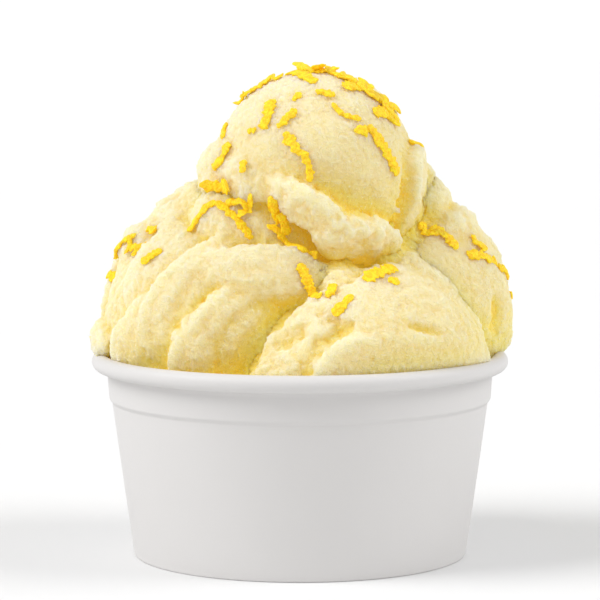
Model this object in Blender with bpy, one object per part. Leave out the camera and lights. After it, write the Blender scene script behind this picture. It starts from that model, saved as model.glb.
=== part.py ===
"""A paper cup of lemon sorbet: a rolled-rim cup, its recessed bottom and five heaped scoops.

The cup stands on the XY plane with its axis on Z. Sizes are in millimetres, and MM turns them
into Blender's metres. Each scoop is a ball with folds and lips laid round it, and the lower
scoops reach down to the cup's bottom and fill it.
"""

import math
from collections import namedtuple

import bmesh
import bpy
from mathutils import Matrix, Vector

MM = 0.001
GAP = 0.35

# The cup's wall, from the foot up.
FOOT_RADIUS = 36.8
FOOT_ROUNDING = 0.4
FOOT_FOLD_HEIGHT = 4.6
FOOT_FOLD_THICKNESS = 1.3
PAPER = 0.45
STEP_HEIGHT = 33.8
STEP_RISE = 1.3
RADIUS_BELOW_STEP = 41.5
RADIUS_ABOVE_STEP = 42.2
RADIUS_UNDER_BEAD = 42.6
BEAD_RADIUS = 1.9
RIM_RADIUS = 46.0
CUP_HEIGHT = 45.0
BEAD_TUCK = math.radians(-125)
BEAD_STEPS = 9
CUP_SEGMENTS = 56

# The bottom disc rests on the foot's fold.
BOTTOM_THICKNESS = 0.6
BOTTOM_ROUNDING = 0.2

# How the scoops' surfaces are made.
LUMP_SUBDIVISIONS = 3
PAD_SUBDIVISIONS = 4
PAD_DEPTH = 4.0
PAD_SQUARENESS = 0.45
SKIN_VOXEL = 1.2
SKIN_SMOOTHING = 3
SKIN_KEPT = 0.032

CUTTER_RADIUS = 70.0
CUTTER_DEPTH = 5.0

PAPER_COLOUR = (0.84, 0.83, 0.82)
SORBET_COLOUR = (0.93, 0.83, 0.52)

# A lump is an ellipsoid: its centre, its half-lengths, and its tilt about Y in degrees.
Lump = namedtuple("Lump", "centre radii tilt", defaults=(0,))

# A pad is a slab bent round a ball, at an azimuth (0 faces -Y, 90 faces +X), an elevation and a
# turn in its own plane, in degrees. It has half-lengths along and up, rises to a height over the
# ball, and its top slopes by rise along and up. A hollow is the same shape cut out, down to a
# floor over the ball.
Pad = namedtuple("Pad", "ball azimuth elevation turn half height rise", defaults=((0, 0),))
Hollow = namedtuple("Hollow", "ball azimuth elevation turn half floor")
Ball = namedtuple("Ball", "centre radius")

TOP = Ball((3.0, -2.0, 85.3), 22.0)
FRONT = Ball((11.0, -11.5, 36.4), 29.0)
LEFT = Ball((-19.5, -1.5, 52.0), 23.0)
RIGHT = Ball((21.0, 8.0, 52.0), 25.5)
BACK = Ball((-6.0, 21.0, 52.0), 25.0)
NECK = Ball((-10.0, -2.0, 54.0), 25.0)

# Each scoop's shapes. A scoop is pressed in by all those before it in this table.
SCOOPS = {
    "scoop_top": (
        Lump((3.0, -2.0, 85.3), (21.8, 22.0, 21.8)),
        Lump((2.0, 0.0, 70.0), (20.0, 16.0, 8.0)),
        Pad(TOP, -78, -8, 0, (8.0, 8.5), 3.0),
        Pad(TOP, 82, -20, 0, (9.0, 14.0), 3.0),
        Pad(TOP, 104, -24, 0, (9.0, 12.0), 4.6),
        Pad(TOP, 60, -48, 0, (11.0, 6.0), 3.4),
        Pad(TOP, 165, -22, -15, (14.0, 8.0), 3.2, (0.6, 0.6)),
        Pad(TOP, 215, -26, 10, (9.0, 6.0), 2.4),
        Pad(TOP, -6, -17, 29, (9.6, 4.8), 3.2, (2.4, 0.8)),
        Pad(TOP, 29, -37, 14, (10.0, 5.6), 5.6, (0.4, 0.5)),
        Hollow(TOP, -48, -38, 30, (14.0, 8.0), -2.0),
    ),
    "scoop_front": (
        Lump((10.0, -11.5, 36.0), (29.0, 27.0, 28.4)),
        Pad(FRONT, -7, 28, -45, (31.0, 14.2), 1.6, (0, 0.3)),
        Pad(FRONT, 41, 30, -24, (22.0, 20.4), 3.0, (0.5, 0.5)),
        Pad(FRONT, -12, 66, 0, (6.0, 5.0), 2.2),
        Pad(FRONT, 80, 62, 0, (4.0, 10.0), 5.0),
        Pad(FRONT, 0, 4, 9, (9.5, 14.0), 4.6, (0, 0.6)),
        Lump((7.0, -14.0, 21.0), (29.0, 27.0, 24.0)),
    ),
    "scoop_left": (
        Lump((-19.5, -1.5, 52.0), (23.2, 22.0, 22.5)),
        Lump((-8.5, -10.0, 69.5), (17.0, 11.5, 11.0), tilt=34),
        Pad(LEFT, 14, 28, -17, (26.0, 26.0), 1.0, (-0.8, 0.8)),
        Pad(LEFT, 24, 16, -18, (25.5, 15.0), 3.4, (-0.4, 1.8)),
        Pad(NECK, -3, 24, -3, (20.0, 6.0), 3.4, (0.6, 1.0)),
        Pad(LEFT, -12, -20, -35, (18.0, 18.0), 2.8, (-1.2, 1.0)),
        Pad(LEFT, 37, -9, -10, (21.8, 15.4), 5.2, (-1.6, 1.4)),
        Pad(LEFT, -6, -14, 0, (4.4, 8.0), 7.2),
        Pad(LEFT, -138, 8, 20, (15.0, 16.0), 2.4, (0.6, 0.8)),
        Lump((-21.5, 0.0, 78.0), (5.5, 7.5, 4.5)),
        Lump((-27.0, 1.0, 73.5), (6.5, 8.5, 5.5)),
        Lump((-33.5, 2.0, 67.0), (6.0, 9.5, 6.5)),
        Lump((-42.5, -1.0, 47.5), (3.8, 10.0, 4.6)),
        Lump((-19.0, -4.0, 23.0), (27.0, 30.0, 27.0)),
        Lump((-12.0, -8.0, 30.0), (48.0, 48.0, 13.5)),
    ),
    "scoop_right": (
        Lump((21.0, 8.0, 52.0), (25.5, 25.5, 25.5)),
        Pad(RIGHT, 60, 18, -40, (26.0, 20.0), 1.2, (0.4, 0.4)),
        Pad(RIGHT, 132, 12, 25, (16.0, 15.0), 2.4, (-0.6, 0.8)),
        Pad(RIGHT, 84, -4, 0, (6.0, 8.0), 0.8),
        Lump((28.0, 2.0, 78.5), (5.5, 8.0, 5.5)),
        Lump((33.0, 3.0, 72.5), (6.0, 9.0, 5.0)),
        Lump((19.0, 9.0, 23.0), (27.0, 28.0, 27.0)),
    ),
    "scoop_back": (
        Lump((-6.0, 21.0, 52.0), (26.0, 24.0, 25.0)),
        Pad(BACK, 160, 32, 20, (25.0, 20.0), 1.4, (0.6, 0.6)),
        Pad(BACK, 195, 6, -25, (21.0, 17.0), 1.4, (0.6, 0.6)),
        Pad(BACK, 150, -8, 0, (7.0, 8.0), 1.2),
        Lump((-6.0, 19.0, 26.0), (30.0, 27.0, 28.0)),
        Lump((-4.0, 12.0, 30.0), (42.0, 42.0, 13.5)),
    ),
}


def clear_scene():
    """Remove whatever the scene holds."""
    for obj in list(bpy.data.objects):
        bpy.data.objects.remove(obj, do_unlink=True)


def plain_material(name, colour, roughness):
    """A Principled material of one colour."""
    material = bpy.data.materials.new(name)
    material.use_nodes = True
    shader = material.node_tree.nodes["Principled BSDF"]
    shader.inputs["Base Color"].default_value = (*colour, 1)
    shader.inputs["Roughness"].default_value = roughness
    shader.inputs["Metallic"].default_value = 0
    return material


def add_object(name, mesh, material):
    """Put a mesh in the scene as an object with one material."""
    obj = bpy.data.objects.new(name, mesh)
    bpy.context.scene.collection.objects.link(obj)
    if material:
        mesh.materials.append(material)
    return obj


def hide_as_cutter(obj):
    """Mark an object as a helper that is not part of the model."""
    obj.hide_render = True
    obj.display_type = "WIRE"
    return obj


def turned(name, outline, closed, material=None):
    """Turn an outline of (radius, height) points about Z; it runs down its outer side."""
    points = [(radius * MM, 0, height * MM) for radius, height in outline]
    edges = [(i, i + 1) for i in range(len(points) - 1)]
    if closed:
        edges.append((len(points) - 1, 0))
    mesh = bpy.data.meshes.new(name)
    mesh.from_pydata(points, edges, [])
    obj = add_object(name, mesh, material)
    screw = obj.modifiers.new("Turn", "SCREW")
    screw.steps = CUP_SEGMENTS
    screw.render_steps = CUP_SEGMENTS
    screw.use_merge_vertices = True
    screw.merge_threshold = 0.1 * PAPER * MM
    screw.use_smooth_shade = True
    return obj


def wall_radius(height):
    """The wall's outer radius below the step."""
    return FOOT_RADIUS + (RADIUS_BELOW_STEP - FOOT_RADIUS) * height / STEP_HEIGHT


def bead_arc(radius, start, end):
    """Points of (radius, height) round the bead's centre, from one angle to another."""
    centre = (RIM_RADIUS - BEAD_RADIUS, CUP_HEIGHT - BEAD_RADIUS)
    angles = [start + (end - start) * i / BEAD_STEPS for i in range(BEAD_STEPS + 1)]
    return [(centre[0] + radius * math.cos(a), centre[1] + radius * math.sin(a)) for a in angles]


def inner_wall(inset):
    """The wall's inner face from the foot's fold up to the bead, moved inwards by inset."""
    fold_top = FOOT_FOLD_HEIGHT + PAPER
    reach = PAPER + inset
    return [
        (wall_radius(fold_top) - reach, fold_top),
        (RADIUS_BELOW_STEP - reach, STEP_HEIGHT),
        (RADIUS_ABOVE_STEP - reach, STEP_HEIGHT + STEP_RISE),
    ]


def wall_outline():
    """The wall's section: bead, lid band, step, taper, folded foot and inner face."""
    fold = FOOT_RADIUS - FOOT_FOLD_THICKNESS
    outline = bead_arc(BEAD_RADIUS, math.pi, BEAD_TUCK)
    outline += [
        (RADIUS_UNDER_BEAD, CUP_HEIGHT - 2 * BEAD_RADIUS),
        (RADIUS_ABOVE_STEP, STEP_HEIGHT + STEP_RISE),
        (RADIUS_BELOW_STEP, STEP_HEIGHT),
        (wall_radius(FOOT_ROUNDING), FOOT_ROUNDING),
        (FOOT_RADIUS - FOOT_ROUNDING, 0),
        (fold + FOOT_ROUNDING, 0),
        (fold, FOOT_ROUNDING),
        (wall_radius(FOOT_FOLD_HEIGHT) - FOOT_FOLD_THICKNESS, FOOT_FOLD_HEIGHT),
    ]
    return outline + inner_wall(0)


def bottom_outline():
    """The bottom disc's section, from the axis out over its top and back below."""
    low = FOOT_FOLD_HEIGHT + GAP
    high = low + BOTTOM_THICKNESS
    radius = wall_radius(low) - PAPER - GAP
    return [
        (0, high),
        (radius - BOTTOM_ROUNDING, high),
        (radius, high - BOTTOM_ROUNDING),
        (radius, low + BOTTOM_ROUNDING),
        (radius - BOTTOM_ROUNDING, low),
        (0, low),
    ]


def cup_cutter():
    """All that lies outside the cup's inside, a gap away from its wall, bead and bottom."""
    floor = FOOT_FOLD_HEIGHT + 2 * GAP + BOTTOM_THICKNESS
    inside = inner_wall(GAP)
    inside[0] = (inside[0][0], floor)
    outline = [(0, floor), *inside, *bead_arc(BEAD_RADIUS + GAP, math.pi, 0)]
    outline += [(CUTTER_RADIUS, CUP_HEIGHT - BEAD_RADIUS), (CUTTER_RADIUS, -CUTTER_DEPTH)]
    outline.append((0, -CUTTER_DEPTH))
    return hide_as_cutter(turned("cutter_cup", outline, closed=False))


def add_lump(shape, lump):
    """Add an ellipsoid to a shape."""
    place = Matrix.Translation(Vector(lump.centre) * MM)
    tilt = Matrix.Rotation(math.radians(lump.tilt), 4, "Y")
    matrix = place @ tilt @ Matrix.Diagonal((*(Vector(lump.radii) * MM), 1))
    bmesh.ops.create_icosphere(shape, subdivisions=LUMP_SUBDIVISIONS, radius=1, matrix=matrix)


def squared(value):
    """A coordinate of -1 to 1 pushed outwards, which turns a ball into a slab."""
    return math.copysign(abs(value) ** PAD_SQUARENESS, value)


def add_slab(shape, pad, low, high, rise=(0, 0)):
    """Add a slab between two heights over a ball, bent round it."""
    turn = (
        Matrix.Rotation(math.radians(pad.azimuth), 3, "Z")
        @ Matrix.Rotation(math.radians(-pad.elevation), 3, "X")
        @ Matrix.Rotation(math.radians(pad.turn), 3, "Y")
    )
    slab = bmesh.ops.create_icosphere(shape, subdivisions=PAD_SUBDIVISIONS, radius=1)
    centre, radius = pad.ball
    for vert in slab["verts"]:
        along, up = vert.co.x, vert.co.z
        out = (1 + squared(-vert.co.y)) / 2
        top = high + rise[0] * along + rise[1] * up
        side = pad.half[0] * along / radius
        lift = pad.half[1] * up / radius
        ahead = math.cos(side) * math.cos(lift)
        way = turn @ Vector((math.sin(side) * math.cos(lift), -ahead, math.sin(lift)))
        vert.co = (Vector(centre) + way * (radius + low + (top - low) * out)) * MM


def shapes_mesh(name, shapes):
    """One mesh that holds a closed surface for each lump and pad."""
    shape = bmesh.new()
    for part in shapes:
        if isinstance(part, Lump):
            add_lump(shape, part)
        elif isinstance(part, Pad):
            add_slab(shape, part, -PAD_DEPTH, part.height, part.rise)
    mesh = bpy.data.meshes.new(name)
    shape.to_mesh(mesh)
    shape.free()
    return mesh


def hollow_cutters(name, shapes):
    """What a scoop's hollows take away."""
    cutters = []
    for part in shapes:
        if isinstance(part, Hollow):
            shape = bmesh.new()
            add_slab(shape, part, part.floor, 2 * PAD_DEPTH)
            mesh = bpy.data.meshes.new("hollow_" + name)
            shape.to_mesh(mesh)
            shape.free()
            cutters.append(hide_as_cutter(add_object(mesh.name, mesh, None)))
    return cutters


def press_in(obj, cutter):
    """Cut a scoop back from what presses on it."""
    cut = obj.modifiers.new("Press " + cutter.name, "BOOLEAN")
    cut.operation = "DIFFERENCE"
    cut.solver = "EXACT"
    cut.object = cutter


def add_remesh(obj):
    """Join an object's overlapping shapes under one skin."""
    remesh = obj.modifiers.new("Skin", "REMESH")
    remesh.mode = "VOXEL"
    remesh.voxel_size = SKIN_VOXEL * MM
    remesh.use_smooth_shade = True


def add_skin(obj, hollows):
    """Join the shapes under one smooth skin of few faces, with the hollows taken out."""
    add_remesh(obj)
    for hollow in hollows:
        press_in(obj, hollow)
        add_remesh(obj)
    smooth = obj.modifiers.new("Soften", "SMOOTH")
    smooth.iterations = SKIN_SMOOTHING
    decimate = obj.modifiers.new("Thin", "DECIMATE")
    decimate.ratio = SKIN_KEPT


def grown_cutter(name, mesh, hollows):
    """A scoop's shape grown by the gap, to cut its neighbours with."""
    cutter = hide_as_cutter(add_object("cutter_" + name, mesh, None))
    add_skin(cutter, hollows)
    grow = cutter.modifiers.new("Grow", "DISPLACE")
    grow.strength = GAP * MM
    grow.mid_level = 0
    return cutter


def make_cup():
    """The paper wall and the bottom disc."""
    paper = plain_material("white_paper", PAPER_COLOUR, 0.55)
    turned("cup_sidewall", wall_outline(), closed=True, material=paper)
    disc = plain_material("white_paper_disc", PAPER_COLOUR, 0.6)
    turned("cup_bottom", bottom_outline(), closed=False, material=disc)


def make_scoops():
    """The scoops, each pressed in by the cup and by the scoops made before it."""
    cutters = [cup_cutter()]
    for name, shapes in SCOOPS.items():
        mesh = shapes_mesh(name, shapes)
        scoop = add_object(name, mesh, plain_material("sorbet_" + name, SORBET_COLOUR, 0.5))
        hollows = hollow_cutters(name, shapes)
        add_skin(scoop, hollows)
        for cutter in cutters:
            press_in(scoop, cutter)
        cutters.append(grown_cutter(name, mesh, hollows))


def main():
    """Make the whole cup of sorbet."""
    clear_scene()
    make_cup()
    make_scoops()


main()
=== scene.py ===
"""The looks of a paper cup of lemon sorbet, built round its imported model.

The scoops are sculpted as distance fields from lumps, swells, folds and grooves, meshed, and
given an icy grain. The paper wall with its rolled rim, the strips of zest and the stage are
made beside them. Shapes are worked out in millimetres, and MM turns them into metres.
"""

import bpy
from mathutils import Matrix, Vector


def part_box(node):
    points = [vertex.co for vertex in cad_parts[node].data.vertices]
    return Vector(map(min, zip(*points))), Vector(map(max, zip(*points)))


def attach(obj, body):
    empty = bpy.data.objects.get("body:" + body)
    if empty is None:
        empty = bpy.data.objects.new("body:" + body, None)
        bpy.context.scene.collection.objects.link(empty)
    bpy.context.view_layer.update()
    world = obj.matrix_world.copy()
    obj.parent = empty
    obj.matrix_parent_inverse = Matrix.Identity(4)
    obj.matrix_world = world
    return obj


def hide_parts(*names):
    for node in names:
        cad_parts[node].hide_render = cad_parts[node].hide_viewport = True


bl_info = {
    "name": "Lemon sorbet cup",
    "version": (1, 0, 0),
    "blender": (4, 5, 0),
    "location": "View3D > Sidebar > Sorbet cup",
    "description": "A paper cup heaped with scoops of lemon sorbet and strewn with zest",
    "category": "Add Mesh",
}

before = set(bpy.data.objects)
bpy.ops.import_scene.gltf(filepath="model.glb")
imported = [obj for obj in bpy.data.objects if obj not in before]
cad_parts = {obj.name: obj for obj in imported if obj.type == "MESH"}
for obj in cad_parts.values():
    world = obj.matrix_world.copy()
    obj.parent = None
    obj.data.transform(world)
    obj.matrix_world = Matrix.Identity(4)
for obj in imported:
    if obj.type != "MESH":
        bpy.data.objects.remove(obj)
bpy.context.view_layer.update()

import math
from collections import namedtuple

import bpy
import numpy as np
import openvdb
from bpy.props import FloatProperty, FloatVectorProperty, IntProperty, PointerProperty
from mathutils import Euler, Vector
from mathutils.bvhtree import BVHTree

MM = 0.001
BODY = "root"


def node_box(node):
    """A node's lowest and highest corners, in millimetres."""
    low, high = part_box(node)
    return np.array(low) / MM, np.array(high) / MM


WALL_LOW, WALL_HIGH = node_box("cup_sidewall")
RIM_RADIUS = float(WALL_HIGH[0] - WALL_LOW[0]) / 2
CUP_HEIGHT = float(WALL_HIGH[2])
BOTTOM_TOP = float(node_box("cup_bottom")[1][2])
HEAP_TOP = float(node_box("scoop_top")[1][2])


# --- What a user can change ---


def colour_property(name, description, default):
    """A colour that the sidebar shows."""
    return FloatVectorProperty(
        name=name, description=description, default=default, size=3, min=0, max=1, subtype="COLOR"
    )


def length_property(name, description, default):
    """A length in metres that the sidebar shows."""
    return FloatProperty(name=name, description=description, default=default, min=0, unit="LENGTH")


class CupSettings(bpy.types.PropertyGroup):
    """The paper cup."""

    paper: colour_property("Paper", "Colour of the coated white paper", (0.675, 0.66, 0.65))
    bead: length_property("Rolled rim", "Radius of the rolled rim's section", 1.9 * MM)
    thickness: length_property("Paper thickness", "Thickness of the wall's paper", 0.45 * MM)
    lap: length_property("Lap", "How far the glued side seam stands out", 0.3 * MM)
    unevenness: length_property("Unevenness", "How far the wall strays from round", 0.05 * MM)


class SorbetSettings(bpy.types.PropertyGroup):
    """The sorbet."""

    # Frosty crests, and painted light: the finish gives this paler colour where a place is convex and
    # open towards the light.
    crest: colour_property("Crests", "Frosty colour of the crests", (0.945, 0.81, 0.515))
    pale: colour_property("Pale", "Colour of the open surface", (0.95, 0.755, 0.36))
    # Painted shade: this deeper yellow fills the hollows, standing in for shade and for light
    # scattered in the ice.
    hollow_shade: colour_property("Hollows", "Colour of the hollows", (0.955, 0.75, 0.19))
    # Painted shade: this deepest yellow fills the deepest creases and tints their painted glow.
    lemon: colour_property("Creases", "Colour of the deepest creases", (0.95, 0.67, 0.06))
    depth: length_property("Light depth", "How far light goes into the ice", 5.0 * MM)
    ragged: length_property("Ragged edges", "Height of the torn lumps", 0.75 * MM)
    grain: length_property("Grain", "Height of the icy grain", 0.36 * MM)


class ZestSettings(bpy.types.PropertyGroup):
    """The lemon zest."""

    rind: colour_property("Rind", "Colour of the zest", (0.97, 0.56, 0.004))
    bright: colour_property("Bright rind", "Colour of its brightest parts", (1.0, 0.74, 0.01))
    thickness: length_property("Thickness", "Thickness of a strip", 0.85 * MM)
    scattered: IntProperty(
        name="Scattered strips", description="Strips on the back and the sides", default=26, min=0
    )


class StageSettings(bpy.types.PropertyGroup):
    """The floor, the light and the camera."""

    floor: colour_property("Floor", "Colour of the floor", (0.80, 0.80, 0.80))
    sky: FloatProperty(name="Sky", description="Strength of the light all round", default=0.62)
    key: FloatProperty(name="Key", description="Strength of the light from the left", default=1.88)
    fill: FloatProperty(name="Fill", description="Strength of the light from the right", default=1.15)
    distance: length_property("Camera distance", "From the cup's axis to the camera", 680 * MM)
    height: length_property("Camera height", "Height of the camera over the floor", 125 * MM)
    tilt: FloatProperty(
        name="Camera tilt", description="Downward tilt", default=math.radians(5.77), subtype="ANGLE"
    )
    lens: FloatProperty(name="Lens", description="Focal length in mm", default=185.6, min=1)


# --- Finishes ---


class Value:
    """A shader socket that takes part in Python sums."""

    def __init__(self, finish, socket):
        self.finish = finish
        self.socket = socket

    def math(self, operation, *others):
        """A Math node of this value and others."""
        inputs = dict(enumerate((self, *others)))
        return self.finish.node("Math", {"operation": operation}, inputs)

    def __add__(self, other):
        return self.math("ADD", other)

    def __sub__(self, other):
        return self.math("SUBTRACT", other)

    def __rsub__(self, other):
        return self.finish.node("Math", {"operation": "SUBTRACT"}, {0: other, 1: self})

    def __mul__(self, other):
        return self.math("MULTIPLY", other)

    __radd__ = __add__
    __rmul__ = __mul__

    def step(self, low, high):
        """0 below low, 1 above high, and smooth between."""
        settings = {"interpolation_type": "SMOOTHSTEP"}
        inputs = {"Value": self, "From Min": low, "From Max": high}
        return self.finish.node("MapRange", settings, inputs)


class Finish:
    """A material whose nodes are built from Python expressions."""

    def __init__(self, name):
        self.material = bpy.data.materials.new(name)
        self.material.use_nodes = True
        self.tree = self.material.node_tree
        self.shader = self.tree.nodes["Principled BSDF"]

    def node(self, kind, settings=None, inputs=None, output=0):
        """Add a node of a kind, set it up, feed its sockets, and return an output."""
        node = self.tree.nodes.new("ShaderNode" + kind)
        for key, setting in (settings or {}).items():
            if key == "stops":
                self.set_stops(node.color_ramp.elements, setting)
            else:
                setattr(node, key, setting)
        for key, value in (inputs or {}).items():
            self.feed(node.inputs[key], value)
        return Value(self, node.outputs[output])

    def set_stops(self, elements, stops):
        """Give a colour ramp its stops of (position, colour)."""
        for _ in stops[2:]:
            elements.new(1)
        for element, (position, colour) in zip(elements, stops):
            element.position = position
            element.color = (*colour, 1)

    def feed(self, socket, value):
        """Link a value to a socket, or set the socket to it."""
        if isinstance(value, Value):
            self.tree.links.new(value.socket, socket)
        elif socket.type == "RGBA":
            socket.default_value = (*value, 1)
        else:
            socket.default_value = value

    def set(self, **values):
        """Feed the shader's sockets, named in lower case with _ for spaces."""
        for key, value in values.items():
            self.feed(self.shader.inputs[key.replace("_", " ").title().replace("Ior", "IOR")], value)

    def place(self):
        """The point on the piece, in metres."""
        return self.node("TexCoord", output="Object")

    def noise(self, wave, detail, rough=0.5):
        """Smooth noise of about 0 to 1, whose lumps are a wave apart in metres."""
        inputs = {"Vector": self.place(), "Scale": 1 / wave, "Detail": detail, "Roughness": rough}
        return self.node("TexNoise", inputs=inputs)

    def cells(self, wave):
        """The distance to the nearest of a swarm of points, which are a wave apart."""
        inputs = {"Vector": self.place(), "Scale": 1 / wave}
        return self.node("TexVoronoi", inputs=inputs, output="Distance")

    def stored(self, name):
        """A number stored at the mesh's points."""
        return self.node("Attribute", {"attribute_name": name}, output="Fac")

    def mix(self, share, first, second):
        """A colour between two."""
        inputs = {0: share, 6: first, 7: second}
        return self.node("Mix", {"data_type": "RGBA"}, inputs, output=2)

    def bump(self, height, distance, strength=1.0):
        """A surface normal pushed about by a height of 0 to 1."""
        inputs = {"Strength": strength, "Distance": distance, "Height": height}
        return self.node("Bump", inputs=inputs)


def sorbet_finish(settings):
    """Icy lemon sorbet, which light goes into: frosty on its crests, painted paler as painted light
    on crests and sides towards the light, and deep yellow as painted shade in its hollows and
    creases, with a faint painted glow there.
    """
    finish = Finish("sorbet")
    patches = finish.noise(9 * MM, detail=3)
    # Painted light and shade: the colour runs from pale crests to deep yellow creases by how shut in
    # a place is and how much ice lies between it and the light.
    depth = 0.4 + 0.75 * finish.stored("crevice") + 0.6 * finish.stored("shade")
    # Random patches, and painted shade that darkens the grain's pits and lightens its tops.
    depth = depth + 0.12 * (patches - 0.5) - 0.06 * finish.stored("grain")
    colours = (settings.crest, settings.pale, settings.hollow_shade, settings.lemon)
    stops = list(zip((0.0, 0.33, 0.62, 1.0), colours))
    colour = finish.node("ValToRGB", {"stops": stops}, {"Fac": depth})
    crystals = finish.noise(0.45 * MM, detail=2, rough=0.7)
    frost = tuple(channel**0.5 for channel in settings.crest)
    flecks = crystals.step(0.55, 0.72)
    colour = finish.mix(flecks * 0.5, colour, frost)
    # A painted glow in the creases, standing in for light that comes through the ice.
    painted_glow = finish.mix(depth.step(0.45, 1.0), (0, 0, 0), settings.lemon)
    finish.set(
        base_color=colour,
        emission_color=painted_glow,
        emission_strength=0.13,
        roughness=0.62 - 0.3 * flecks,
        specular_ior_level=0.3,
        subsurface_weight=0.9,
        subsurface_radius=(1.0, 0.95, 0.5),
        subsurface_scale=settings.depth,
        ior=1.31,
        normal=finish.bump(crystals, 0.55 * MM),
    )
    return finish.material


def paper_finish(settings, name="paper"):
    """White coated paper with a faint fibre and mottle."""
    finish = Finish(name)
    mottle = finish.noise(14 * MM, detail=4)
    fibre = finish.noise(0.5 * MM, detail=3, rough=0.65)
    dim = tuple(0.955 * channel for channel in settings.paper)
    finish.set(
        base_color=finish.mix(mottle * 0.5 + fibre * 0.35, settings.paper, dim),
        roughness=0.42 + 0.16 * fibre,
        ior=1.45,
        normal=finish.bump(fibre + 3 * mottle, 0.03 * MM, strength=0.5),
    )
    return finish.material


def zest_finish(settings):
    """Golden rind with pores, and a faint painted glow."""
    finish = Finish("zest")
    patches = finish.noise(0.9 * MM, detail=3, rough=0.7)
    pores = finish.cells(0.5 * MM)
    colour = finish.mix(patches.step(0.4, 0.62), settings.rind, settings.bright)
    finish.set(
        base_color=colour,
        # A faint painted glow in the rind's colour, which lightens the zest where it lies in shade.
        emission_color=settings.rind,
        emission_strength=0.12,
        roughness=0.5 + 0.2 * patches,
        subsurface_weight=0.5,
        subsurface_radius=(1.0, 0.7, 0.1),
        subsurface_scale=1.2 * MM,
        normal=finish.bump(pores + patches, 0.3 * MM),
    )
    return finish.material


def floor_finish(settings):
    """A plain pale floor with a hardly visible mottle."""
    finish = Finish("floor")
    mottle = finish.noise(0.4, detail=2)
    dim = tuple(0.99 * channel for channel in settings.floor)
    finish.set(base_color=finish.mix(mottle, settings.floor, dim), roughness=0.9)
    return finish.material


# --- Pieces ---


def put(name, data):
    """Add an object to the scene, in place of an earlier one of its name."""
    old = bpy.data.objects.get(name)
    if old:
        bpy.data.objects.remove(old, do_unlink=True)
    added = bpy.data.objects.new(name, data)
    bpy.context.scene.collection.objects.link(added)
    return added


def add_piece(name, points, faces, material):
    """Make a smooth mesh piece of points in metres, which rides on the body."""
    mesh = bpy.data.meshes.new(name)
    mesh.from_pydata(points, [], faces)
    if mesh.validate():
        raise RuntimeError(name + " has broken faces")
    mesh.shade_smooth()
    mesh.materials.append(material)
    piece = put(name, mesh)
    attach(piece, BODY)
    return piece


def turned_faces(turns, rows, closed):
    """The faces between turned sections that have so many rows of points."""
    faces = []
    for turn in range(turns):
        here = turn * rows
        there = (turn + 1) % turns * rows
        for row in range(rows if closed else rows - 1):
            below = (row + 1) % rows
            faces.append((here + row, here + below, there + below, there + row))
    return faces


# --- The paper cup ---

FOOT_RADIUS = 36.8
FOOT_ROUNDING = 0.4
FOOT_FOLD_HEIGHT = 4.6
FOOT_FOLD_THICKNESS = 1.3
STEP_HEIGHT = 33.8
STEP_RISE = 1.3
RADIUS_BELOW_STEP = 41.5
RADIUS_ABOVE_STEP = 42.2
RADIUS_UNDER_BEAD = 42.6
BEAD_TUCK = math.radians(-125)
BEAD_STEPS = 22
WALL_ROWS = 22
WALL_SEGMENTS = 240
SEAM_ANGLE = math.radians(105)
SEAM_WIDTH = math.radians(16)
SEAM_EDGE = math.radians(0.25)


def arc(centre, radius, start, end, steps):
    """Points of (radius, height) along an arc."""
    angles = [start + (end - start) * i / steps for i in range(steps + 1)]
    return [(centre[0] + radius * math.cos(a), centre[1] + radius * math.sin(a)) for a in angles]


def between(start, end, steps):
    """Evenly spaced points from start up to, but without, end."""
    return [tuple(s + (e - s) * i / steps for s, e in zip(start, end)) for i in range(steps)]


def wall_radius(height):
    """The wall's outer radius below the step."""
    return FOOT_RADIUS + (RADIUS_BELOW_STEP - FOOT_RADIUS) * height / STEP_HEIGHT


def step_bend(height):
    """The outer radius where the wall bends from the taper out to the lid band."""
    share = (height - STEP_HEIGHT) / STEP_RISE
    swing = (1 - math.cos(math.pi * share)) / 2
    return RADIUS_BELOW_STEP + (RADIUS_ABOVE_STEP - RADIUS_BELOW_STEP) * swing


def outer_section(bead):
    """The wall's section from inside the rolled rim, over it and down to the foot's edge."""
    centre = (RIM_RADIUS - bead, CUP_HEIGHT - bead)
    band_top = (RADIUS_UNDER_BEAD, CUP_HEIGHT - 2 * bead)
    band_foot = (RADIUS_ABOVE_STEP, STEP_HEIGHT + STEP_RISE)
    bend = [(step_bend(h), h) for h in np.linspace(band_foot[1], STEP_HEIGHT, 9)[1:-1]]
    edge = (FOOT_RADIUS - FOOT_ROUNDING, FOOT_ROUNDING)
    return [
        *arc(centre, bead, math.pi, BEAD_TUCK, BEAD_STEPS),
        *between(band_top, band_foot, 5),
        band_foot,
        *bend,
        *between((RADIUS_BELOW_STEP, STEP_HEIGHT), (wall_radius(edge[1]), edge[1]), WALL_ROWS),
        *arc(edge, FOOT_ROUNDING, 0, -math.pi / 2, 5),
    ]


def inner_section(paper):
    """The wall's section from the foot's inner edge up its inner face to the rolled rim."""
    fold = FOOT_RADIUS - FOOT_FOLD_THICKNESS
    fold_top = FOOT_FOLD_HEIGHT + paper
    return [
        *arc((fold + FOOT_ROUNDING, FOOT_ROUNDING), FOOT_ROUNDING, -math.pi / 2, -math.pi, 5),
        (wall_radius(FOOT_FOLD_HEIGHT) - FOOT_FOLD_THICKNESS, FOOT_FOLD_HEIGHT),
        (wall_radius(fold_top) - paper, fold_top),
        (RADIUS_BELOW_STEP - paper, STEP_HEIGHT),
        (RADIUS_ABOVE_STEP - paper, STEP_HEIGHT + STEP_RISE),
    ]


def seam_height(angle):
    """How much of the lap's thickness stands out at an angle past the seam's edge."""
    past = (angle - SEAM_ANGLE) % (2 * math.pi)
    if past > SEAM_WIDTH:
        return 0.0
    return min(past / SEAM_EDGE, 1.0) * (1 + math.cos(math.pi * past / SEAM_WIDTH)) / 2


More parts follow.
